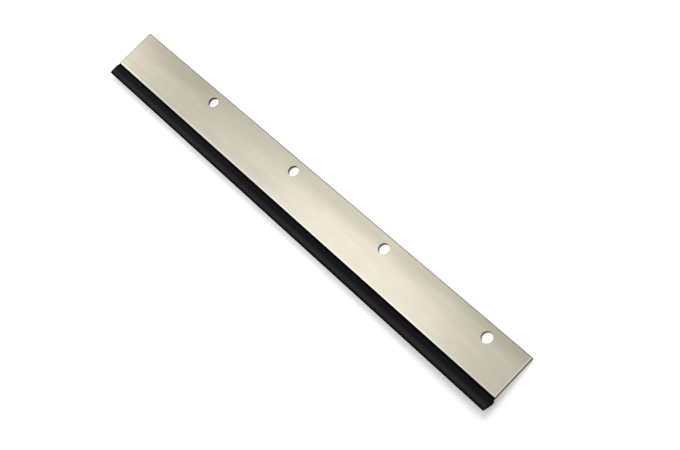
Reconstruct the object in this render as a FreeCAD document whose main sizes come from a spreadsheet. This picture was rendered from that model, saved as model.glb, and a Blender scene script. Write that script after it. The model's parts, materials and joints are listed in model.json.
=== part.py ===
import FreeCAD, Part
import math
import os
import Sketcher

# Press wash-up blade: a flat steel strip with a row of mounting holes along one long edge, and a
# rubber blade bonded along the other long edge.
#
# The part's own frame: X runs along the blade and Z points up. The steel lies level, with its hole
# edge towards +Y and the rubber towards -Y. The origin is under the middle of the whole part, on the
# level of the rubber's belly, which is the lowest face.

# Driving dimensions, in millimetres. Each one is a named cell of the sheet.
SIZES = [
    ("strip_length", 475, "length of the strip and of the rubber"),
    ("strip_width", 38, "width of the strip from the rubber to the hole edge"),
    ("strip_thickness", 2.5, "thickness of the strip"),
    ("hole_count", 4, "mounting holes in the row"),
    ("hole_diameter", 9, "diameter of a mounting hole"),
    ("hole_pitch", 110, "distance from one hole to the next"),
    ("hole_end_distance", 35, "from the +X end to the first hole's centre"),
    ("hole_edge_distance", 10, "from the hole edge to the holes' centres"),
    ("rubber_reach", 12, "how far the rubber reaches out of the strip"),
    ("rubber_depth", 5.5, "from the strip's upper face down to the belly"),
    ("web_width", 1.9, "width of the thin web beside the strip"),
    ("groove_depth", 0.5, "how deep the web lies below the strip's upper face"),
    ("crown_radius", 30, "radius of the crowned top"),
    ("nose_drop", 0.2, "from the strip's upper face down to the nose's top corner"),
    ("nose_height", 0.9, "height of the blunt nose"),
    ("belly_width", 3.4, "width of the flat belly"),
    ("shoulder_radius", 0.4, "rounding beside the groove"),
    ("nose_top_radius", 0.3, "rounding of the wiping edge"),
    ("nose_low_radius", 0.5, "rounding under the nose"),
    ("belly_outer_radius", 3, "rounding from the belly to the sloping underside"),
    ("belly_inner_radius", 0.8, "rounding from the belly to the inner wall"),
]
SHEET_NAME = "dims"

# How near an edge must lie to a point of the section to be taken as the edge there.
FOUND_WITHIN = 1e-3


def make_sheet(doc):
    """The spreadsheet with every driving dimension: a name, a value and what it is."""
    sheet = doc.addObject("Spreadsheet::Sheet", SHEET_NAME)
    for row, (name, value, meaning) in enumerate(SIZES, start=1):
        sheet.set(f"A{row}", name)
        sheet.set(f"B{row}", str(value))
        sheet.set(f"C{row}", meaning)
        sheet.setAlias(f"B{row}", name)
    doc.recompute()
    return sheet


def make_body(doc, label):
    """An empty body whose label names its file."""
    body = doc.addObject("PartDesign::Body", label)
    body.Label = label
    return body


def origin_feature(body, role):
    """One of the body's own origin planes or axes."""
    for feature in body.Origin.OriginFeatures:
        if feature.Role == role:
            return feature
    raise ValueError(f"no {role} in {body.Label}")


def make_sketch(body, name, plane_role):
    """A sketch on one of the body's own origin planes."""
    sketch = body.newObject("Sketcher::SketchObject", name)
    sketch.AttachmentSupport = [(origin_feature(body, plane_role), "")]
    sketch.MapMode = "FlatFace"
    return sketch


def bind(sketch, constraint, name, formula):
    """Add a named constraint to the sketch and drive it from the sheet."""
    index = sketch.addConstraint(constraint)
    sketch.renameConstraint(index, name)
    sketch.setExpression(f"Constraints.{name}", formula)


def crown_arc(shoulder, nose, radius):
    """The arc of the crowned top, bulging up between the shoulder and the nose."""
    chord = nose - shoulder
    up = FreeCAD.Vector(-chord.y, chord.x, 0).normalize()
    centre = (shoulder + nose) * 0.5 - up * math.sqrt(radius ** 2 - chord.Length ** 2 / 4)
    circle = Part.Circle(centre, FreeCAD.Vector(0, 0, 1), radius)
    first, last = (math.atan2(point.y - centre.y, point.x - centre.x) for point in (nose, shoulder))
    return Part.ArcOfCircle(circle, first, last)


def make_steel_strip(doc, sheet):
    """The strip: a sheared rectangle with a row of round punched holes."""
    body = make_body(doc, "steel_strip")
    half_length = sheet.strip_length / 2
    width = sheet.strip_width

    outline = make_sketch(body, "strip_outline", "XY_Plane")
    corners = [(-half_length, 0), (half_length, 0), (half_length, width), (-half_length, width)]
    points = [FreeCAD.Vector(x, y, 0) for x, y in corners]
    for here, there in zip(points, points[1:] + points[:1]):
        outline.addGeometry(Part.LineSegment(here, there))
    for line in range(4):
        outline.addConstraint(Sketcher.Constraint("Coincident", line, 2, (line + 1) % 4, 1))
    for line in (0, 2):
        outline.addConstraint(Sketcher.Constraint("Horizontal", line))
    outline.addConstraint(Sketcher.Constraint("Symmetric", 0, 1, 0, 2, -1, 1))
    outline.addConstraint(Sketcher.Constraint("Vertical", 1))
    outline.addConstraint(Sketcher.Constraint("Vertical", 3))
    bind(outline, Sketcher.Constraint("DistanceX", 0, 1, 0, 2, 2 * half_length), "length", "dims.strip_length")
    bind(outline, Sketcher.Constraint("DistanceY", 1, 1, 1, 2, width), "width", "dims.strip_width")

    plate = body.newObject("PartDesign::Pad", "strip_plate")
    plate.Profile = outline
    plate.setExpression("Length", "dims.strip_thickness")
    doc.recompute()
    whole_volume = plate.Shape.Volume

    hole_sketch = make_sketch(body, "hole_outline", "XY_Plane")
    centre = FreeCAD.Vector(half_length - sheet.hole_end_distance, width - sheet.hole_edge_distance, 0)
    hole_sketch.addGeometry(Part.Circle(centre, FreeCAD.Vector(0, 0, 1), sheet.hole_diameter / 2))
    bind(hole_sketch, Sketcher.Constraint("Diameter", 0, float(sheet.hole_diameter)), "bore",
         "dims.hole_diameter")
    bind(hole_sketch, Sketcher.Constraint("DistanceX", -1, 1, 0, 3, centre.x), "along",
         "dims.strip_length / 2 - dims.hole_end_distance")
    bind(hole_sketch, Sketcher.Constraint("DistanceY", -1, 1, 0, 3, centre.y), "across",
         "dims.strip_width - dims.hole_edge_distance")

    # The holes go up from the sketch on the strip's lower face.
    hole = body.newObject("PartDesign::Pocket", "mounting_hole")
    hole.Profile = hole_sketch
    hole.Type = "ThroughAll"
    hole.Reversed = True
    doc.recompute()

    row = body.newObject("PartDesign::LinearPattern", "hole_row")
    row.Originals = [hole]
    row.Direction = (origin_feature(body, "X_Axis"), [""])
    row.Reversed = True
    row.Mode = "Spacing"
    row.setExpression("Offset", "dims.hole_pitch")
    row.setExpression("Occurrences", "dims.hole_count")
    body.Tip = row
    doc.recompute()
    if row.Shape.Volume >= hole.Shape.Volume or hole.Shape.Volume >= whole_volume:
        raise RuntimeError("the mounting holes were not cut")

    body.setExpression("Placement.Base.y", "(dims.rubber_reach - dims.strip_width) / 2")
    body.setExpression("Placement.Base.z", "dims.rubber_depth - dims.strip_thickness")
    return body


def edge_along_x(shape, across, up):
    """The name of the edge that runs along X through this point of the section."""
    for number, edge in enumerate(shape.Edges, start=1):
        ends = [vertex.Point for vertex in edge.Vertexes]
        if all(abs(end.y - across) < FOUND_WITHIN and abs(end.z - up) < FOUND_WITHIN for end in ends):
            return f"Edge{number}"
    raise RuntimeError(f"no edge at {across}, {up}")


def make_rubber_blade(doc, sheet):
    """The rubber: one moulded section along the whole strip.

    The body's own +Y points out of the strip and its Z = 0 is the belly. Beside the strip lies a thin
    web in a groove, then the thick blade with its crowned top, blunt nose and sloping underside.
    """
    body = make_body(doc, "rubber_blade")
    top = sheet.rubber_depth
    nose_top = top - sheet.nose_drop
    nose_low = nose_top - sheet.nose_height
    web = sheet.web_width
    reach = sheet.rubber_reach
    belly_end = web + sheet.belly_width
    underside = top - sheet.strip_thickness

    # The corners of the section in order, each with the formulas that place it. An empty formula
    # means that the corner lies on the sketch's axis.
    corners = [
        ("web_low", 0, underside, None, "dims.rubber_depth - dims.strip_thickness"),
        ("web_top", 0, top - sheet.groove_depth, None, "dims.rubber_depth - dims.groove_depth"),
        ("groove", web, top - sheet.groove_depth, "dims.web_width", "dims.rubber_depth - dims.groove_depth"),
        ("shoulder", web, top, "dims.web_width", "dims.rubber_depth"),
        ("nose_top", reach, nose_top, "dims.rubber_reach", "dims.rubber_depth - dims.nose_drop"),
        ("nose_low", reach, nose_low, "dims.rubber_reach",
         "dims.rubber_depth - dims.nose_drop - dims.nose_height"),
        ("belly_outer", belly_end, 0, "dims.web_width + dims.belly_width", None),
        ("belly_inner", web, 0, "dims.web_width", None),
        ("inner_wall", web, underside, "dims.web_width", "dims.rubber_depth - dims.strip_thickness"),
    ]
    points = [FreeCAD.Vector(across, up, 0) for _, across, up, _, _ in corners]
    crown = [name for name, *_ in corners].index("shoulder")

    section = make_sketch(body, "blade_section", "YZ_Plane")
    for index, here in enumerate(points):
        there = points[(index + 1) % len(points)]
        if index == crown:
            section.addGeometry(crown_arc(here, there, sheet.crown_radius))
        else:
            section.addGeometry(Part.LineSegment(here, there))
    # The arc runs from the nose back to the shoulder, so its two ends swap places.
    start_of = {index: 1 for index in range(len(points))}
    end_of = {index: 2 for index in range(len(points))}
    start_of[crown], end_of[crown] = 2, 1
    for index in range(len(points)):
        following = (index + 1) % len(points)
        section.addConstraint(
            Sketcher.Constraint("Coincident", index, end_of[index], following, start_of[following]))
    for index, (name, _, _, across, up) in enumerate(corners):
        holder, which = (index, 1) if index != crown else (index - 1, 2)
        at = points[index]
        if across is None:
            section.addConstraint(Sketcher.Constraint("PointOnObject", holder, which, -2))
        else:
            bind(section, Sketcher.Constraint("DistanceX", -1, 1, holder, which, at.x), name + "_across",
                 across)
        if up is None:
            section.addConstraint(Sketcher.Constraint("PointOnObject", holder, which, -1))
        else:
            bind(section, Sketcher.Constraint("DistanceY", -1, 1, holder, which, at.y), name + "_up", up)
    bind(section, Sketcher.Constraint("Radius", crown, float(sheet.crown_radius)), "crown",
         "dims.crown_radius")

    blade = body.newObject("PartDesign::Pad", "blade_length")
    blade.Profile = section
    blade.SideType = "Symmetric"
    blade.setExpression("Length", "dims.strip_length")
    doc.recompute()

    # The moulded corners, each rounded in a feature of its own.
    rounded = [
        ("shoulder_rounding", web, top, "dims.shoulder_radius"),
        ("nose_top_rounding", reach, nose_top, "dims.nose_top_radius"),
        ("nose_low_rounding", reach, nose_low, "dims.nose_low_radius"),
        ("belly_outer_rounding", belly_end, 0, "dims.belly_outer_radius"),
        ("belly_inner_rounding", web, 0, "dims.belly_inner_radius"),
    ]
    last = blade
    for name, across, up, radius in rounded:
        fillet = body.newObject("PartDesign::Fillet", name)
        fillet.Base = (last, [edge_along_x(last.Shape, across, up)])
        fillet.setExpression("Radius", radius)
        doc.recompute()
        last = fillet
    body.Tip = last

    body.Placement.Rotation = FreeCAD.Rotation(FreeCAD.Vector(0, 0, 1), 180)
    body.setExpression("Placement.Base.y", "(dims.rubber_reach - dims.strip_width) / 2")
    return body


def check(doc, bodies):
    """Stop if an object failed, or a body's shape is missing or not valid."""
    for thing in doc.Objects:
        bad = [state for state in thing.State if state in ("Invalid", "Error")]
        if bad:
            raise RuntimeError(f"{thing.Label} is {bad}")
    for body in bodies:
        if body.Shape.isNull() or not body.Shape.isValid():
            raise RuntimeError(f"{body.Label} has no valid shape")
        if len(body.Shape.Solids) != 1:
            raise RuntimeError(f"{body.Label} is not one solid")


def main():
    doc = FreeCAD.newDocument("wash_up_blade")
    sheet = make_sheet(doc)
    bodies = [make_steel_strip(doc, sheet), make_rubber_blade(doc, sheet)]
    doc.recompute()
    check(doc, bodies)
    os.makedirs("parts", exist_ok=True)
    for body in bodies:
        body.Shape.exportStep(f"parts/{body.Label}.step")
        box = body.Shape.BoundBox
        print(f"{body.Label}: volume {body.Shape.Volume:.1f}, x {box.XMin:.2f} {box.XMax:.2f},"
              f" y {box.YMin:.2f} {box.YMax:.2f}, z {box.ZMin:.2f} {box.ZMax:.2f}")


main()
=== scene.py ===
import json
import math

import bpy
from mathutils import Matrix, Vector


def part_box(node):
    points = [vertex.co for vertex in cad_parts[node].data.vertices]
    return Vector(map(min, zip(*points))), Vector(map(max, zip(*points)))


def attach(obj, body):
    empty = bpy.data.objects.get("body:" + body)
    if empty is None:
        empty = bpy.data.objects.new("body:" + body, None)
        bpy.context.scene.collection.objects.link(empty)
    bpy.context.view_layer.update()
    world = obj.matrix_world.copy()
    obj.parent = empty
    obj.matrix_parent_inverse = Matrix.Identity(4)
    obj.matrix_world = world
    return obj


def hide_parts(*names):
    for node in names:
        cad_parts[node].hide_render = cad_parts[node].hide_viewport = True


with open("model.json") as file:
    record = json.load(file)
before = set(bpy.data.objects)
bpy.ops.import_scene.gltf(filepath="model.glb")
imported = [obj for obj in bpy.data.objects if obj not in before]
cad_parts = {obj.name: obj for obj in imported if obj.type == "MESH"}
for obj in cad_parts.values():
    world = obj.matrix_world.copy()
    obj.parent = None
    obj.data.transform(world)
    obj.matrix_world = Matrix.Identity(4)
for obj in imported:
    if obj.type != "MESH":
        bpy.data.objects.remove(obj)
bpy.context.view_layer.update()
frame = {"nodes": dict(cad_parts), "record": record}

# Everything is in metres, in the part's own frame: X along the blade, +Y towards the hole edge, +Z up.
MM = 0.001

# The strip as packed. The rubber joins its long edge on the -Y side.
strip_low, strip_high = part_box("steel_strip")
LENGTH = strip_high.x - strip_low.x
STRIP_WIDTH = strip_high.y - strip_low.y
STRIP_THICKNESS = strip_high.z - strip_low.z
STRIP_MIDDLE = (strip_low + strip_high) / 2
JOINT_LINE = strip_low.y
HOLE_EDGE = strip_high.y

# The row of holes. The outer pair's pattern gives the row's length, the inner pair's its pitch.
mounts = {mount["name"]: mount for mount in frame["record"]["mounts"]}
HOLE_RADIUS = mounts["outer_holes"]["dims"]["hole_r_mm"] * MM
HOLE_PITCH = mounts["inner_holes"]["dims"]["spacing_x_mm"] * MM
ROW_LENGTH = mounts["outer_holes"]["dims"]["spacing_x_mm"] * MM
ROW_MIDDLE = Vector(mounts["outer_holes"]["pos_m"])
HOLE_COUNT = round(ROW_LENGTH / HOLE_PITCH) + 1
FIRST_HOLE = ROW_MIDDLE - Vector((ROW_LENGTH / 2, 0, 0))

# How finely the pieces are made.
HOLE_SIDES = 96
STRIP_CORNER_RADIUS = 0.4 * MM
STRIP_CORNER_STEPS = 4
STRIP_ARRIS = 0.18 * MM
RUBBER_ARRIS = 0.2 * MM
ARRIS_STEPS = 3
SHARP_ANGLE = math.radians(40)
ROUNDING_STEPS = 6
CROWN_STEPS = 24
WELD = 1e-6

# The sockets of the colour mixing node: its factor, its two colours, and the colour that comes out.
MIX_FACTOR, MIX_FIRST, MIX_SECOND, MIX_RESULT = 0, 6, 7, 2
NOISE_MIDDLE = 0.5
WHITE = (1, 1, 1, 1)


class Wire:
    """One output of a node. Arithmetic on it adds Math nodes to its tree."""

    def __init__(self, graph, socket):
        self.graph = graph
        self.socket = socket

    def out(self, name):
        """Another output of the same node."""
        return Wire(self.graph, self.socket.node.outputs[name])

    def math(self, operation, *values):
        return self.graph.add("ShaderNodeMath", {"operation": operation}, list(values))

    def __add__(self, other):
        return self.math("ADD", self, other)

    def __radd__(self, other):
        return self.math("ADD", other, self)

    def __sub__(self, other):
        return self.math("SUBTRACT", self, other)

    def __rsub__(self, other):
        return self.math("SUBTRACT", other, self)

    def __mul__(self, other):
        return self.math("MULTIPLY", self, other)

    def __rmul__(self, other):
        return self.math("MULTIPLY", other, self)

    def __truediv__(self, other):
        return self.math("DIVIDE", self, other)

    def __pow__(self, other):
        return self.math("POWER", self, other)

    def __abs__(self):
        return self.math("ABSOLUTE", self)

    def rounded(self):
        return self.math("ROUND", self)

    def least(self, other):
        return self.math("MINIMUM", self, other)

    def most(self, other):
        return self.math("MAXIMUM", self, other)

    def swing(self):
        """How far a noise is above its middle."""
        return self - NOISE_MIDDLE

    def between(self, low, high):
        """0 at low, 1 at high, smooth from one to the other and level outside them. Low may be the
        larger of the two."""
        return self.graph.add("ShaderNodeMapRange", {"interpolation_type": "SMOOTHSTEP"},
                              {"Value": self, "From Min": low, "From Max": high})


class Graph:
    """A node tree with the one method that adds a node to it."""

    def __init__(self, tree):
        self.tree = tree

    def add(self, kind, settings=None, inputs=None, output=0):
        """Add a node, its settings first and then its sockets' values or links. Returns an output."""
        node = self.tree.nodes.new(kind)
        for name, value in (settings or {}).items():
            setattr(node, name, value)
        sockets = enumerate(inputs) if isinstance(inputs, list) else (inputs or {}).items()
        for key, value in sockets:
            for one in value if isinstance(value, list) else [value]:
                if isinstance(one, Wire):
                    self.tree.links.new(one.socket, node.inputs[key])
                else:
                    node.inputs[key].default_value = one
        return Wire(self, node.outputs[output]) if node.outputs else node


# Geometry Nodes.

def new_rule(name, sizes):
    """A Geometry Nodes tree with named inputs. Returns it with the wire of each input."""
    tree = bpy.data.node_groups.new(name, "GeometryNodeTree")
    tree.interface.new_socket(name="Geometry", in_out="INPUT", socket_type="NodeSocketGeometry")
    for label, kind in sizes.items():
        tree.interface.new_socket(name=label, in_out="INPUT", socket_type="NodeSocket" + kind)
    tree.interface.new_socket(name="Geometry", in_out="OUTPUT", socket_type="NodeSocketGeometry")
    graph = Graph(tree)
    given = graph.add("NodeGroupInput")
    return graph, {label: given.out(label) for label in sizes}


def close_rule(graph, geometry, material):
    """Realize whatever is instanced, set the material and end the tree."""
    real = graph.add("GeometryNodeRealizeInstances", None, [geometry])
    painted = graph.add("GeometryNodeSetMaterial", None, {"Geometry": real, "Material": material})
    graph.add("NodeGroupOutput", None, [painted])


def slab(graph, outline, height):
    """A closed solid of that height, from curves lying in the XY plane at Z = 0."""
    face = graph.add("GeometryNodeFillCurve", {"mode": "NGONS"}, {"Curve": outline})
    straight_up = graph.add("FunctionNodeInputVector", {"vector": (0, 0, 1)})
    risen = graph.add("GeometryNodeExtrudeMesh", {"mode": "FACES"}, {
        "Mesh": face, "Offset": straight_up, "Offset Scale": height, "Individual": False})
    base = graph.add("GeometryNodeFlipFaces", None, [face])
    both = graph.add("GeometryNodeJoinGeometry", None, [[base, risen]])
    return graph.add("GeometryNodeMergeByDistance", None, {"Geometry": both, "Distance": WELD})


def make_piece(name, graph, values, arris):
    """Run a rule on a new object, soften its sharp edges, and return it as a plain mesh object."""
    source = bpy.data.objects.new(name + "_rule", bpy.data.meshes.new(name + "_rule"))
    bpy.context.scene.collection.objects.link(source)
    rule = source.modifiers.new("rule", "NODES")
    rule.node_group = graph.tree
    for item in graph.tree.interface.items_tree:
        if item.in_out == "INPUT" and item.name in values:
            rule[item.identifier] = values[item.name]
    soften = source.modifiers.new("soften", "BEVEL")
    soften.width = arris
    soften.segments = ARRIS_STEPS
    soften.limit_method = "ANGLE"
    soften.angle_limit = SHARP_ANGLE
    soften.use_clamp_overlap = False
    soften.loop_slide = False
    soften.harden_normals = True
    depsgraph = bpy.context.evaluated_depsgraph_get()
    mesh = bpy.data.meshes.new_from_object(source.evaluated_get(depsgraph), preserve_all_data_layers=True,
                                           depsgraph=depsgraph)
    bpy.data.objects.remove(source)
    mesh.name = name
    piece = bpy.data.objects.new(name, mesh)
    bpy.context.scene.collection.objects.link(piece)
    return piece


def punched_strip_rule(material):
    """A flat strip with rounded corners and a row of round holes."""
    graph, given = new_rule("punched_strip", {
        "Length": "Float", "Width": "Float", "Thickness": "Float", "Underside Middle": "Vector",
        "Corner Radius": "Float", "Hole Radius": "Float", "Hole Count": "Int", "First Hole": "Vector",
        "Hole Pitch": "Float"})
    outline = graph.add("GeometryNodeCurvePrimitiveQuadrilateral", None, {
        "Width": given["Length"], "Height": given["Width"]})
    outline = graph.add("GeometryNodeFilletCurve", {"mode": "POLY"}, {
        "Curve": outline, "Count": STRIP_CORNER_STEPS, "Radius": given["Corner Radius"]})
    circle = graph.add("GeometryNodeCurvePrimitiveCircle", None, {
        "Resolution": HOLE_SIDES, "Radius": given["Hole Radius"]})
    step = graph.add("ShaderNodeCombineXYZ", None, {"X": given["Hole Pitch"]})
    row = graph.add("GeometryNodeMeshLine", {"mode": "OFFSET"}, {
        "Count": given["Hole Count"], "Start Location": given["First Hole"], "Offset": step})
    holes = graph.add("GeometryNodeInstanceOnPoints", None, {"Points": row, "Instance": circle})
    holes = graph.add("GeometryNodeRealizeInstances", None, [holes])
    curves = graph.add("GeometryNodeJoinGeometry", None, [[outline, holes]])
    plate = slab(graph, curves, given["Thickness"])
    placed = graph.add("GeometryNodeTransform", None, {
        "Geometry": plate, "Translation": given["Underside Middle"]})
    close_rule(graph, placed, material)
    return graph


def make_strip(material):
    """The steel strip."""
    underside = Vector((STRIP_MIDDLE.x, STRIP_MIDDLE.y, strip_low.z))
    first = FIRST_HOLE - underside
    return make_piece("steel_strip_dressed", punched_strip_rule(material), {
        "Length": LENGTH,
        "Width": STRIP_WIDTH,
        "Thickness": STRIP_THICKNESS,
        "Underside Middle": underside,
        "Corner Radius": STRIP_CORNER_RADIUS,
        "Hole Radius": HOLE_RADIUS,
        "Hole Count": HOLE_COUNT,
        "First Hole": Vector((first.x, first.y, 0)),
        "Hole Pitch": HOLE_PITCH,
    }, STRIP_ARRIS)


# The rubber's section, in millimetres. Across, it is measured out of the strip's edge, and its levels
# are measured up from the belly. The web fills the strip's edge up to the groove, and the blade hangs
# on the web.
WEB_WIDTH = 1.9
REACH = 12
BELLY_END = WEB_WIDTH + 3.4
DEPTH = 5.5
GROOVE_LEVEL = DEPTH - 0.5
UNDERSIDE_LEVEL = DEPTH - STRIP_THICKNESS / MM
NOSE_TOP_LEVEL = DEPTH - 0.2
NOSE_LOW_LEVEL = NOSE_TOP_LEVEL - 0.9
CROWN_RADIUS = 30

# Its corners, each with the radius of its rounding. The crown runs from the shoulder to the corner
# after it, the top of the nose.
SECTION = [
    ((0, UNDERSIDE_LEVEL), 0),
    ((0, GROOVE_LEVEL), 0),
    ((WEB_WIDTH, GROOVE_LEVEL), 0),
    ((WEB_WIDTH, DEPTH), 0.4),
    ((REACH, NOSE_TOP_LEVEL), 0.3),
    ((REACH, NOSE_LOW_LEVEL), 0.5),
    ((BELLY_END, 0), 3),
    ((WEB_WIDTH, 0), 0.8),
    ((WEB_WIDTH, UNDERSIDE_LEVEL), 0),
]
SHOULDER = 3


def crown_points(shoulder, nose):
    """Points on the crowned top between the shoulder and the nose, both left out."""
    shoulder, nose = Vector(shoulder), Vector(nose)
    chord = nose - shoulder
    across = Vector((-chord.y, chord.x)).normalized()
    centre = (shoulder + nose) / 2 - across * math.sqrt(CROWN_RADIUS ** 2 - chord.length_squared / 4)
    begin, end = shoulder - centre, nose - centre
    turn = begin.angle_signed(end)
    return [centre + Matrix.Rotation(-turn * step / CROWN_STEPS, 2) @ begin
            for step in range(1, CROWN_STEPS)]


def section_object():
    """The section's corners as a closed line in the XY plane, with each one's rounding."""
    points, roundings = [], []
    for index, (corner, rounding) in enumerate(SECTION):
        points.append(Vector(corner))
        roundings.append(rounding * MM)
        if index == SHOULDER:
            crown = crown_points(corner, SECTION[index + 1][0])
            points += crown
            roundings += [0] * len(crown)
    mesh = bpy.data.meshes.new("rubber_section")
    count = len(points)
    mesh.from_pydata([(point.x * MM, point.y * MM, 0) for point in points],
                     [(index, (index + 1) % count) for index in range(count)], [])
    attribute = mesh.attributes.new("rounding", "FLOAT", "POINT")
    attribute.data.foreach_set("value", roundings)
    section = bpy.data.objects.new("rubber_section", mesh)
    bpy.context.scene.collection.objects.link(section)
    return section


def moulded_blade_rule(material):
    """A section drawn out along the blade."""
    graph, given = new_rule("moulded_blade", {
        "Section": "Object", "Length": "Float", "Joint Line": "Float"})
    section = graph.add("GeometryNodeObjectInfo", None, {"Object": given["Section"]}, "Geometry")
    line = graph.add("GeometryNodeMeshToCurve", None, {"Mesh": section})
    rounding = graph.add("GeometryNodeInputNamedAttribute", {"data_type": "FLOAT"}, {"Name": "rounding"})
    outline = graph.add("GeometryNodeFilletCurve", {"mode": "POLY"}, {
        "Curve": line, "Count": ROUNDING_STEPS, "Radius": rounding})
    blade = slab(graph, outline, given["Length"])
    # The section's X turns to -Y, its Y to +Z, and the drawing direction to -X.
    turned = Matrix(((0, 0, -1), (-1, 0, 0), (0, 1, 0))).to_euler()
    start = graph.add("ShaderNodeCombineXYZ", None, {"X": given["Length"] / 2, "Y": given["Joint Line"]})
    placed = graph.add("GeometryNodeTransform", None, {
        "Geometry": blade, "Translation": start, "Rotation": turned})
    close_rule(graph, placed, material)
    return graph


def make_rubber(material):
    """The rubber blade."""
    section = section_object()
    piece = make_piece("rubber_blade_dressed", moulded_blade_rule(material), {
        "Section": section, "Length": LENGTH, "Joint Line": JOINT_LINE}, RUBBER_ARRIS)
    bpy.data.objects.remove(section)
    return piece


# Materials.

def new_material(name):
    """An empty material with its tree."""
    material = bpy.data.materials.new(name)
    material.use_nodes = True
    material.node_tree.nodes.clear()
    return material, Graph(material.node_tree)


def close_material(graph, shader):
    """Lead the shader to the material's surface."""
    graph.add("ShaderNodeOutputMaterial", None, {"Surface": shader})


def blend(graph, factor, first, second):
    """Mix two colours."""
    return graph.add("ShaderNodeMix", {"data_type": "RGBA"},
                     {MIX_FACTOR: factor, MIX_FIRST: first, MIX_SECOND: second}, MIX_RESULT)


def noise(graph, place, grains, detail, roughness, shift):
    """Noise from 0 to 1 around its middle, with its grains per metre along each axis."""
    where = graph.add("ShaderNodeMapping", None, {"Vector": place, "Location": shift, "Scale": grains})
    return graph.add("ShaderNodeTexNoise", None, {
        "Vector": where, "Scale": 1.0, "Detail": detail, "Roughness": roughness})


def beyond_hole_wall(x, y):
    """How far a place is from the wall of the nearest hole, negative inside it."""
    number = ((x - FIRST_HOLE.x) / HOLE_PITCH).rounded().most(0).least(HOLE_COUNT - 1)
    along = x - FIRST_HOLE.x - number * HOLE_PITCH
    across = y - FIRST_HOLE.y
    return (along * along + across * across) ** 0.5 - HOLE_RADIUS


# A noise pattern is its grains per metre along X, Y and Z, its detail and roughness, and a shift that
# keeps it apart from the others. A pair is where something begins to show and where it shows in full.

STEEL_PALE = (0.750, 0.695, 0.561, 1)
STEEL_ROSY = (0.735, 0.673, 0.549, 1)
# The olive is painted shade, for the band along the hole edge.
STEEL_SHADED_OLIVE = (0.533, 0.490, 0.380, 1)
STEEL_DARK = (0.480, 0.445, 0.358, 1)
# The bright colour is a painted highlight on two arrises, the one after it painted shade on the other
# two.
STEEL_HIGHLIGHT = (0.920, 0.880, 0.800, 1)
STEEL_EDGE_SHADE = (0.290, 0.265, 0.225, 1)
# The next two darken the sheared faces and the hole walls, partly as painted shade.
STEEL_SHEARED_AND_SHADED = (0.034, 0.031, 0.022, 1)
STEEL_PUNCHED_AND_SHADED = (0.080, 0.072, 0.054, 1)
STEEL_BURNISHED = (0.300, 0.270, 0.215, 1)

# The rolling has drawn the steel's patterns out along X, and the shears have drawn their marks along Z.
STEEL_CLOUDS = (9, 45, 45), 3.0, 0.55, (0, 0, 0)
STEEL_STREAKS = (7, 380, 380), 2.0, 0.5, (3.1, 0, 0)
STEEL_HAIRLINES = (24, 3000, 3000), 2.0, 0.6, (0, 1.7, 0)
STEEL_MOTTLING = (45, 130, 130), 1.0, 0.5, (0, 0, 2.3)
SHEAR_MARKS = (2500, 2500, 160), 2.0, 0.6, (0, 0, 0)

ROSY_CLOUDS = 0.35, 0.65
DARK_STREAKS = 0.35, 0.75
DARK_MOTTLING = 0.30, 0.70
STREAK_DARKENING = 0.12
MOTTLING_DARKENING = 0.12
STEEL_ROUGHNESS = 0.135
STREAK_ROUGHNESS = 0.03
HAIRLINE_ROUGHNESS = 0.02
STEEL_SPECULAR = 0.15
STEEL_BUMP = 0.25
STEEL_BUMP_HEIGHT = 0.0006 * MM

# The olive band along the hole edge is painted shade, a darker reflection painted into the colour. The
# clouds shift its border, and it is faint on one stretch of the blade and strong on another.
BAND_BORDER = 4 * MM, 23 * MM
BAND_DRIFT = 22 * MM
BAND_STRENGTH = 0.67
STRETCH_BORDER = 80 * MM, 20 * MM
FAINT_STRETCH = -75 * MM
FAINT_LOSS = 0.30
STRONG_STRETCH = 175 * MM
STRONG_GAIN = 0.33

# The painted highlight on two arrises, wider and brighter on one stretch, and the painted shade line.
HIGHLIGHT_LINE = 1.80 * MM, 0.90 * MM
HIGHLIGHT_STRENGTH = 0.55
HIGHLIGHT_POLISH = 0.03
HIGHLIGHT_STRETCH = 20 * MM, -120 * MM
HIGHLIGHT_WIDENING = 0.4 * MM
HIGHLIGHT_GAIN = 0.45
EDGE_SHADE_LINE = 1.10 * MM, 0.60 * MM
EDGE_SHADE_STRENGTH = 0.8
EDGE_SHADE_ROUGHNESS = 0.03

# The sheared faces, dark partly as painted shade, and the burnished ring at each hole's mouth. The ring's
# ragged lower border is given as a height above the belly.
SHEARED_FACE = 0.17 * MM, 0.08 * MM
SHEARED_STRENGTH = 0.85
SHEAR_MARK_STRENGTH = 0.15
SHEAR_MARK_RELIEF = 10
SHEARED_ROUGHNESS = 0.45
BURNISHED_FACE = 0.10 * MM, 0.04 * MM
BURNISHED_LEVEL = 4.4 * MM, 4.7 * MM
BURNISHED_RAGGEDNESS = 0.5 * MM
BURNISHED_STRENGTH = 0.15
BURNISHED_POLISH = 0.20


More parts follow.
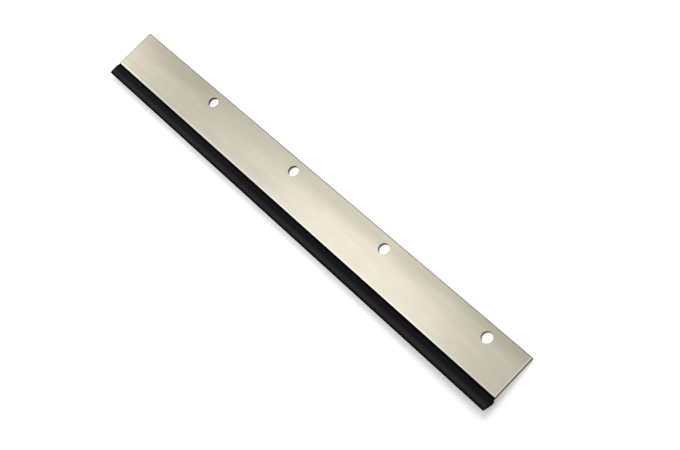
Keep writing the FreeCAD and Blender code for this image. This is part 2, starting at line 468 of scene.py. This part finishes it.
def satin_steel():
    """Cold-rolled strip with a fine lengthwise satin grain. A band along the hole edge is painted shade.
    The sheared edges and the punched holes' walls are rough and darker, partly as painted shade, two
    arrises get a painted highlight, and the other two a line of painted shade."""
    material, graph = new_material("satin_steel_dressed")
    place = graph.add("ShaderNodeTexCoord", output="Object")
    apart = graph.add("ShaderNodeSeparateXYZ", None, [place])
    x, y, z = apart.out("X"), apart.out("Y"), apart.out("Z")

    # Distances to the nearest end, long edge and hole wall.
    to_end = LENGTH / 2 - abs(x)
    to_long_edge = (HOLE_EDGE - y).least(y - JOINT_LINE)
    to_wall = beyond_hole_wall(x, y)
    to_edge = to_end.least(to_long_edge).least(to_wall)

    clouds = noise(graph, place, *STEEL_CLOUDS)
    streaks = noise(graph, place, *STEEL_STREAKS)
    hairlines = noise(graph, place, *STEEL_HAIRLINES)
    mottling = noise(graph, place, *STEEL_MOTTLING)

    # A soft band along the hole edge is painted shade, duller and more olive; elsewhere warm and pale.
    shade_band = (y + clouds.swing() * BAND_DRIFT).between(*BAND_BORDER)
    faint = abs(x - FAINT_STRETCH).between(*STRETCH_BORDER)
    strong = abs(x - STRONG_STRETCH).between(*STRETCH_BORDER)
    shade_band = shade_band * (BAND_STRENGTH - faint * FAINT_LOSS + strong * STRONG_GAIN)
    tone = blend(graph, clouds.between(*ROSY_CLOUDS), STEEL_PALE, STEEL_ROSY)
    tone = blend(graph, shade_band, tone, STEEL_SHADED_OLIVE)
    darkening = (streaks.between(*DARK_STREAKS) * STREAK_DARKENING
                 + mottling.between(*DARK_MOTTLING) * MOTTLING_DARKENING)
    colour = blend(graph, darkening, tone, STEEL_DARK)
    roughness = (STEEL_ROUGHNESS + streaks.swing() * STREAK_ROUGHNESS
                 + hairlines.swing() * HAIRLINE_ROUGHNESS)

    # The arrises at the rubber and at the +X end get a painted highlight. Along the hole edge and the -X
    # end, painted shade leaves a narrow dark line.
    to_highlit_arris = (y - JOINT_LINE).least(LENGTH / 2 - x)
    to_shaded_arris = (HOLE_EDGE - y).least(LENGTH / 2 + x)
    highlit_stretch = x.between(*HIGHLIGHT_STRETCH)
    arris_highlight = (to_highlit_arris - highlit_stretch * HIGHLIGHT_WIDENING).between(*HIGHLIGHT_LINE) * (HIGHLIGHT_STRENGTH + highlit_stretch * HIGHLIGHT_GAIN)
    edge_shade = to_shaded_arris.between(*EDGE_SHADE_LINE)
    colour = blend(graph, arris_highlight, colour, STEEL_HIGHLIGHT)
    colour = blend(graph, edge_shade * EDGE_SHADE_STRENGTH, colour, STEEL_EDGE_SHADE)
    roughness = roughness - arris_highlight * HIGHLIGHT_POLISH + edge_shade * EDGE_SHADE_ROUGHNESS

    # The sheared faces and the walls of the holes, dark and rough; their darkness is partly painted
    # shade.
    shear_marks = noise(graph, place, *SHEAR_MARKS)
    sheared = to_edge.between(*SHEARED_FACE)
    punched = to_wall.between(*SHEARED_FACE)
    burnished = (z + shear_marks * BURNISHED_RAGGEDNESS).between(*BURNISHED_LEVEL)
    burnished = burnished * to_wall.between(*BURNISHED_FACE)
    colour = blend(graph, sheared * (SHEARED_STRENGTH + shear_marks * SHEAR_MARK_STRENGTH), colour,
                   STEEL_SHEARED_AND_SHADED)
    colour = blend(graph, punched, colour, STEEL_PUNCHED_AND_SHADED)
    colour = blend(graph, burnished * BURNISHED_STRENGTH, colour, STEEL_BURNISHED)
    roughness = roughness + sheared * (SHEARED_ROUGHNESS - burnished * BURNISHED_POLISH)

    height = hairlines + sheared * shear_marks * SHEAR_MARK_RELIEF
    normal = graph.add("ShaderNodeBump", None, {
        "Strength": STEEL_BUMP, "Distance": STEEL_BUMP_HEIGHT, "Height": height})
    shader = graph.add("ShaderNodeBsdfPrincipled", None, {
        "Base Color": colour, "Metallic": 1 - sheared, "Roughness": roughness,
        "Specular IOR Level": STEEL_SPECULAR, "Normal": normal})
    close_material(graph, shader)
    return material


RUBBER_DARK = (0.0020, 0.0020, 0.0028, 1)
RUBBER_PALE = (0.0036, 0.0035, 0.0048, 1)
# The greyer colour is a painted highlight along the rubber's top.
RUBBER_HIGHLIGHT = (0.0235, 0.0230, 0.0250, 1)
# The darkest colour is painted shade in the groove, on the nose and at the cut ends.
RUBBER_MATT_SHADE = (0.0015, 0.0015, 0.0018, 1)

RUBBER_CLOUDS = (14, 90, 90), 3.0, 0.55, (0, 0, 0)
DRAWING_LINES = (12, 2600, 2600), 2.0, 0.6, (0, 0.6, 0)
SKIN_GRAIN = (3200, 3200, 3200), 2.0, 0.6, (0, 0, 0)

PALE_CLOUDS = 0.3, 0.7
RUBBER_ROUGHNESS = 0.46
CLOUD_ROUGHNESS = 0.14
LINE_ROUGHNESS = 0.10
GRAIN_ROUGHNESS = 0.08
LINE_RELIEF = 0.45
GRAIN_RELIEF = 0.55
RUBBER_SPECULAR = 0.08
RUBBER_BUMP = 0.35
RUBBER_BUMP_HEIGHT = 0.02 * MM

# The rubber is dead matt in the groove, on the nose and at the cut ends, and darker there as painted
# shade.
MATT_SHADED_GROOVE = (WEB_WIDTH + 0.35) * MM, (WEB_WIDTH - 0.05) * MM
MATT_SHADED_NOSE = (REACH - 1.7) * MM, (REACH - 0.8) * MM
MATT_SHADED_END = 0.20 * MM, 0.05 * MM
MATT_ROUGHNESS = 0.5

# The painted highlight strip along the top, from the side of the groove and from the side of the nose.
RUBBER_HIGHLIGHT_FROM_GROOVE = 5.0 * MM, 8.6 * MM
RUBBER_HIGHLIGHT_FROM_NOSE = 11.0 * MM, 9.6 * MM
RUBBER_HIGHLIGHT_STRENGTH = 0.75
RUBBER_HIGHLIGHT_CLOUDINESS = 0.8


def black_rubber():
    """Solid black rubber with faint drawing lines along its length and a fine skin grain."""
    material, graph = new_material("black_rubber_dressed")
    place = graph.add("ShaderNodeTexCoord", output="Object")
    clouds = noise(graph, place, *RUBBER_CLOUDS)
    lines = noise(graph, place, *DRAWING_LINES)
    grain = noise(graph, place, *SKIN_GRAIN)
    colour = blend(graph, clouds.between(*PALE_CLOUDS), RUBBER_DARK, RUBBER_PALE)
    roughness = (RUBBER_ROUGHNESS + clouds.swing() * CLOUD_ROUGHNESS + lines.swing() * LINE_ROUGHNESS
                 + grain.swing() * GRAIN_ROUGHNESS)

    # A strip along the top is painted greyer: a painted highlight on the crown.
    apart = graph.add("ShaderNodeSeparateXYZ", None, [place])
    out_of_strip = JOINT_LINE - apart.out("Y")
    to_end = LENGTH / 2 - abs(apart.out("X"))
    matt_shade = out_of_strip.between(*MATT_SHADED_GROOVE).most(to_end.between(*MATT_SHADED_END))
    matt_shade = matt_shade.most(out_of_strip.between(*MATT_SHADED_NOSE))
    top_highlight = out_of_strip.between(*RUBBER_HIGHLIGHT_FROM_GROOVE) * out_of_strip.between(*RUBBER_HIGHLIGHT_FROM_NOSE)
    top_highlight = top_highlight * (RUBBER_HIGHLIGHT_STRENGTH + clouds.swing() * RUBBER_HIGHLIGHT_CLOUDINESS)
    colour = blend(graph, top_highlight, colour, RUBBER_HIGHLIGHT)
    colour = blend(graph, matt_shade, colour, RUBBER_MATT_SHADE)
    roughness = roughness + matt_shade * MATT_ROUGHNESS

    height = lines * LINE_RELIEF + grain * GRAIN_RELIEF
    normal = graph.add("ShaderNodeBump", None, {
        "Strength": RUBBER_BUMP, "Distance": RUBBER_BUMP_HEIGHT, "Height": height})
    shader = graph.add("ShaderNodeBsdfPrincipled", None, {
        "Base Color": colour, "Roughness": roughness, "Specular IOR Level": RUBBER_SPECULAR,
        "Normal": normal})
    close_material(graph, shader)
    return material


# The pieces.
strip = make_strip(satin_steel())
blade = make_rubber(black_rubber())
for piece, node, slot in ((strip, "steel_strip", "satin_steel"), (blade, "rubber_blade", "black_rubber")):
    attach(piece, "root")
    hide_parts(node)

# Camera: it looks down along the blade from beyond its +X end, turned about its own axis.
CAMERA_PLACE = Vector((0.5447, -0.0797, 0.7781))
CAMERA_TARGET = Vector((0.0500, 0.0068, 0.0055))
CAMERA_ROLL = math.radians(-37.22)
CAMERA_LENS = 63.59

camera_data = bpy.data.cameras.new("camera")
camera_data.lens = CAMERA_LENS
camera = bpy.data.objects.new("camera", camera_data)
bpy.context.scene.collection.objects.link(camera)
looking = (CAMERA_TARGET - CAMERA_PLACE).to_track_quat("-Z", "Y").to_matrix().to_4x4()
camera.matrix_world = Matrix.Translation(CAMERA_PLACE) @ looking @ Matrix.Rotation(CAMERA_ROLL, 4, "Z")
bpy.context.scene.camera = camera

# Floor: the blade lies on its belly and on the strip's hole edge, so a level floor slopes in the
# part's frame. The steepest line from the hole edge down to the rubber gives the slope.
contact = Vector((0, HOLE_EDGE, strip_low.z))
FLOOR_SLOPE = max(math.atan2(contact.z - vertex.co.z, contact.y - vertex.co.y)
                  for vertex in frame["nodes"]["rubber_blade"].data.vertices)
FLOOR_SIZE = 60
FLOOR_WHITE = (0.86, 0.86, 0.86, 1)

# The lift that turns the paper white, what is added to it far from the blade, what is added under the
# holes as painted light over their shadow, and what is taken off round the rubber's +X end as painted
# shadow.
FLOOR_LIFT = 0.38
FAR_LIFT = 0.20
FAR_OFF = 0.5, 2.0
HOLE_LIFT = 0.45
UNDER_HOLE = 0.3 * MM, -0.9 * MM
DEEP_SHADOW = 0.13
DEEP_FROM_END = 200 * MM, 0
DEEP_FROM_SIDE = 30 * MM, -5 * MM


def floor_paper():
    """White paper. Seen directly or in a reflection it is lifted to white, and it keeps its shadows. A
    painted shadow deepens them round the rubber's +X end, and painted light hides them under the holes."""
    material, graph = new_material("floor_paper")
    path = graph.add("ShaderNodeLightPath")
    seen = path.out("Is Camera Ray").most(path.out("Is Glossy Ray")).most(path.out("Is Transmission Ray"))
    place = graph.add("ShaderNodeTexCoord", output="Object")
    apart = graph.add("ShaderNodeSeparateXYZ", None, [place])
    x, y = apart.out("X"), apart.out("Y")
    deep = abs(x - LENGTH / 2).between(*DEEP_FROM_END) * y.between(*DEEP_FROM_SIDE)
    in_hole = beyond_hole_wall(x, y).between(*UNDER_HOLE)
    far_off = ((x * x + y * y) ** 0.5).between(*FAR_OFF)
    lifted = FLOOR_LIFT - deep * DEEP_SHADOW + in_hole * HOLE_LIFT + far_off * FAR_LIFT
    paper = graph.add("ShaderNodeBsdfDiffuse", None, {"Color": FLOOR_WHITE})
    lift = graph.add("ShaderNodeEmission", None, {"Color": WHITE, "Strength": seen * lifted})
    close_material(graph, graph.add("ShaderNodeAddShader", None, [paper, lift]))
    return material


half = FLOOR_SIZE / 2
lie = Matrix.Translation(contact) @ Matrix.Rotation(FLOOR_SLOPE, 4, "X")
floor_mesh = bpy.data.meshes.new("floor")
floor_mesh.from_pydata([lie @ Vector(corner) for corner in
                        ((-half, -half, 0), (half, -half, 0), (half, half, 0), (-half, half, 0))],
                       [], [(0, 1, 2, 3)])
floor_mesh.materials.append(floor_paper())
floor = bpy.data.objects.new("floor", floor_mesh)
bpy.context.scene.collection.objects.link(floor)

# The key lamp, a square softbox that throws the shadows. Its bearing runs from +X towards +Y, and its
# level is how bright it alone makes a white surface that faces it. The steel mirrors the room, not the
# lamp.
KEY_BEARING = math.radians(122)
KEY_ELEVATION = math.radians(50)
KEY_DISTANCE = 2.2
KEY_SIZE = 1.2
KEY_LEVEL = 0.45
KEY_AIM = Vector((0.030, 0.005, 0.003))

key_lamp = bpy.data.lights.new("key", "AREA")
key_lamp.shape = "SQUARE"
key_lamp.size = KEY_SIZE
key_lamp.energy = KEY_LEVEL * (math.pi * KEY_DISTANCE) ** 2
key = bpy.data.objects.new("key", key_lamp)
bpy.context.scene.collection.objects.link(key)
to_key = Vector((math.cos(KEY_ELEVATION) * math.cos(KEY_BEARING),
                 math.cos(KEY_ELEVATION) * math.sin(KEY_BEARING), math.sin(KEY_ELEVATION)))
key.matrix_world = (Matrix.Translation(KEY_AIM + to_key * KEY_DISTANCE)
                    @ to_key.to_track_quat("Z", "Y").to_matrix().to_4x4())
key.visible_glossy = False

# The room. Its walls are brighter than its ceiling, and one large soft window in the ceiling beyond the
# -X end, in a soft glow, gives the satin steel its sheen. The pairs here are elevations in degrees.
WALL_FOOT = 10, 36
WALL_TOP = 47.3, 42.3
GLOW_LOW = 47.7, 50.8
GLOW_HIGH = 69.6, 62.5
WINDOW_LOW = 53.1, 54.8
WINDOW_HIGH = 65.8, 62.6

# These pairs are shares of a direction along +Y or along -X.
FAR_WALL_SIDE = 0.100, 0.066
WINDOW_SIDE = 0.200, 0.040
AHEAD_SIDE = -0.45, -0.25
AHEAD = 0.1, 0.3
RUBBER_SIDE = -0.12, -0.36
NEAR_SIDE = 0.05, -0.35

ROOM_LEVEL = 0.69
WALL_GAIN = 0.42
FAR_WALL_GAIN = 0.35
GLOW_GAIN = 0.20
WINDOW_GAIN = 0.48
RUBBER_SIDE_LOSS = 0.30
NEAR_SIDE_LOSS = 0.35
WINDOW_LIGHT = (0.995, 1.0, 1.052, 1)

world = bpy.data.worlds.new("studio")
world.use_nodes = True
world.node_tree.nodes.clear()
room = Graph(world.node_tree)
direction = room.add("ShaderNodeTexCoord", output="Generated")
towards = room.add("ShaderNodeSeparateXYZ", None, [direction])
rise, aside, beyond = towards.out("Z"), towards.out("Y"), towards.out("X") * -1


def elevated(low, high):
    """0 where a direction has the first elevation, 1 where it has the second."""
    return rise.between(math.sin(math.radians(low)), math.sin(math.radians(high)))


walls = elevated(*WALL_TOP) * elevated(*WALL_FOOT)
far_wall = walls * aside.between(*FAR_WALL_SIDE) * beyond.between(*AHEAD)
ahead = aside.between(*AHEAD_SIDE) * beyond.between(*AHEAD)
glow = elevated(*GLOW_LOW) * elevated(*GLOW_HIGH) * ahead
in_window = aside.between(*WINDOW_SIDE)
window = elevated(*WINDOW_LOW) * elevated(*WINDOW_HIGH) * in_window * ahead
rubber_side = aside.between(*RUBBER_SIDE)
near_side = beyond.between(*NEAR_SIDE)
level = ROOM_LEVEL + walls * WALL_GAIN
level = level * (1 - rubber_side * RUBBER_SIDE_LOSS) * (1 - near_side * NEAR_SIDE_LOSS)
level = level + far_wall * FAR_WALL_GAIN + glow * GLOW_GAIN + window * WINDOW_GAIN
light = blend(room, glow * in_window, WHITE, WINDOW_LIGHT)
background = room.add("ShaderNodeBackground", None, {"Color": light, "Strength": level})
room.add("ShaderNodeOutputWorld", None, {"Surface": background})
bpy.context.scene.world = world
bpy.context.scene.view_settings.view_transform = "Standard"
